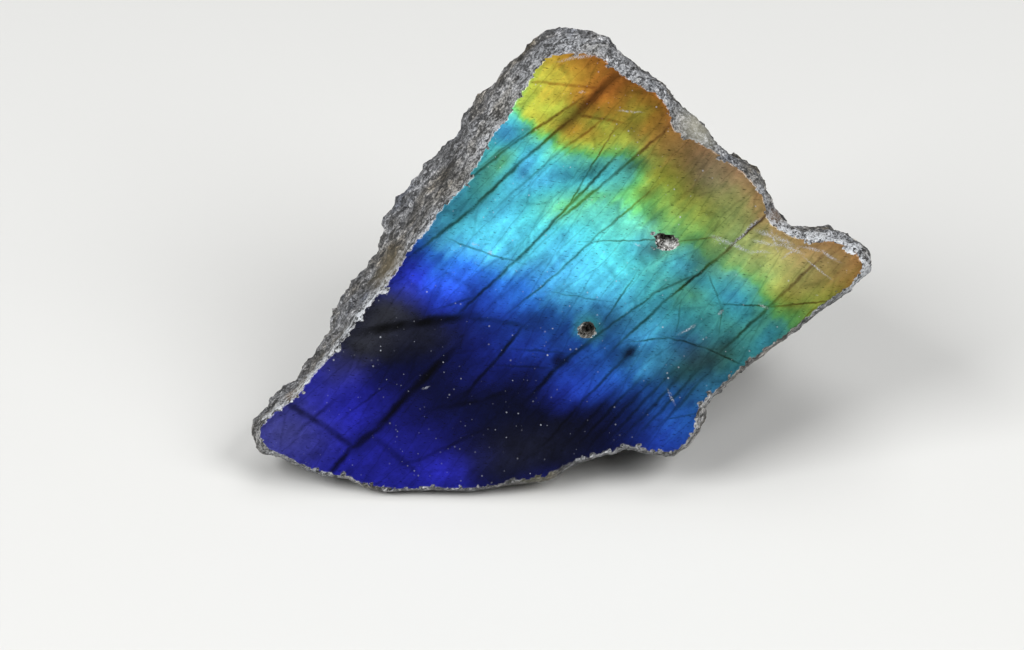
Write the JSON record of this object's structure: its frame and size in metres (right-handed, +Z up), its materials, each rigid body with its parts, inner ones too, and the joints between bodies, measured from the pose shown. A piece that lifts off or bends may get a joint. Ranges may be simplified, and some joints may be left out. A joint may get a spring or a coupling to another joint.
{
  "type": "rough labradorite chunk",
  "caption": "Loose chunk of labradorite, broken and weathered all round, with one lapped and polished face that leans back and shows a blue to gold schiller.",
  "frame": {"origin": "middle of the stone's box, on the surface that the stone rests on", "axes": "+Z up, the polished face looking towards -Y and leaning back, the stone's long side along X with its narrow arm at +X"},
  "size_m": [0.0522, 0.0282, 0.0331],
  "materials": {
    "labradorite": "one polished face, broken and matte elsewhere"
  },
  "bodies": {
    "root": {"labradorite_chunk": "labradorite"}
  },
  "joints": []
}
